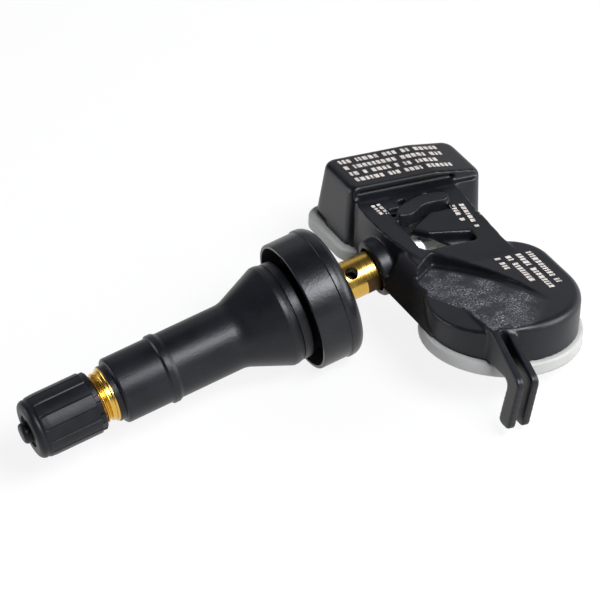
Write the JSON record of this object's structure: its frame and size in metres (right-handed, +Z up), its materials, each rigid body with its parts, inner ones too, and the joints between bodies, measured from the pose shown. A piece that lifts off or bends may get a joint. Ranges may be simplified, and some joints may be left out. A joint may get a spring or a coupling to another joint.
{
  "type": "tyre pressure sensor",
  "caption": "Tyre pressure sensor: rubber snap-in valve with a brass stem, screw-on dust cap and sprung core, screwed to a moulded housing with a cell, a circuit board and a pale base cover.",
  "frame": {"origin": "on the valve's axis, in the plane of the flange's sealing rim, where the wheel rim's inner face lies", "axes": "+X along the valve from the cap to the sensor, +Y towards the electronics box, +Z up, away from the base cover"},
  "size_m": [0.0818, 0.0595, 0.0204],
  "materials": {
    "cap_plastic": "moulded, satin",
    "seal_rubber": "matte",
    "valve_rubber": "moulded, satin",
    "brass": "turned",
    "steel": "plated",
    "housing_plastic": "moulded, fine grain",
    "cover_plastic": "moulded, smooth",
    "board": "solder mask",
    "chip_plastic": "moulded",
    "coil_winding": "enamelled wire",
    "capacitor_ceramic": "fired ceramic"
  },
  "bodies": {
    "sensor": {"valve_stem": "brass", "valve_rubber": "valve_rubber", "core_body": "brass", "core_gasket": "seal_rubber", "core_spring": "steel", "sensor_housing": "housing_plastic", "base_cover": "cover_plastic", "fixing_screw": "steel", "coin_cell": "steel", "positive_tab": "steel", "negative_tab": "steel", "circuit_board": "board", "sensor_chip": "chip_plastic", "port_seal": "seal_rubber", "lf_coil": "coil_winding", "crystal": "steel", "smd_capacitors": "capacitor_ceramic", "antenna_strip": "brass"},
    "seal": {"cap_seal": "seal_rubber"},
    "cap": {"valve_cap": "cap_plastic"},
    "pin": {"core_pin": "brass", "core_cup_seal": "seal_rubber"}
  },
  "joints": [
    {"name": "cap_lift", "type": "slide", "parent": "sensor", "child": "seal", "axis": [-1, 0, 0], "range_m": [0, 0.00794]},
    {"name": "cap_turn", "type": "hinge", "parent": "seal", "child": "cap", "pos_m": [-0.038, 0, 0], "axis": [-1, 0, 0], "range_deg": [0, 3600]},
    {"name": "pin_press", "type": "slide", "parent": "sensor", "child": "pin", "axis": [1, 0, 0], "range_m": [0, 0.0015], "stiffness_N_per_m": 1000, "springref_m": -0.001, "deforming": ["core_spring"]}
  ],
  "couplings": [
    {"joint": "cap_turn", "follows": "cap_lift", "rad_per_m": 7913.3}
  ]
}
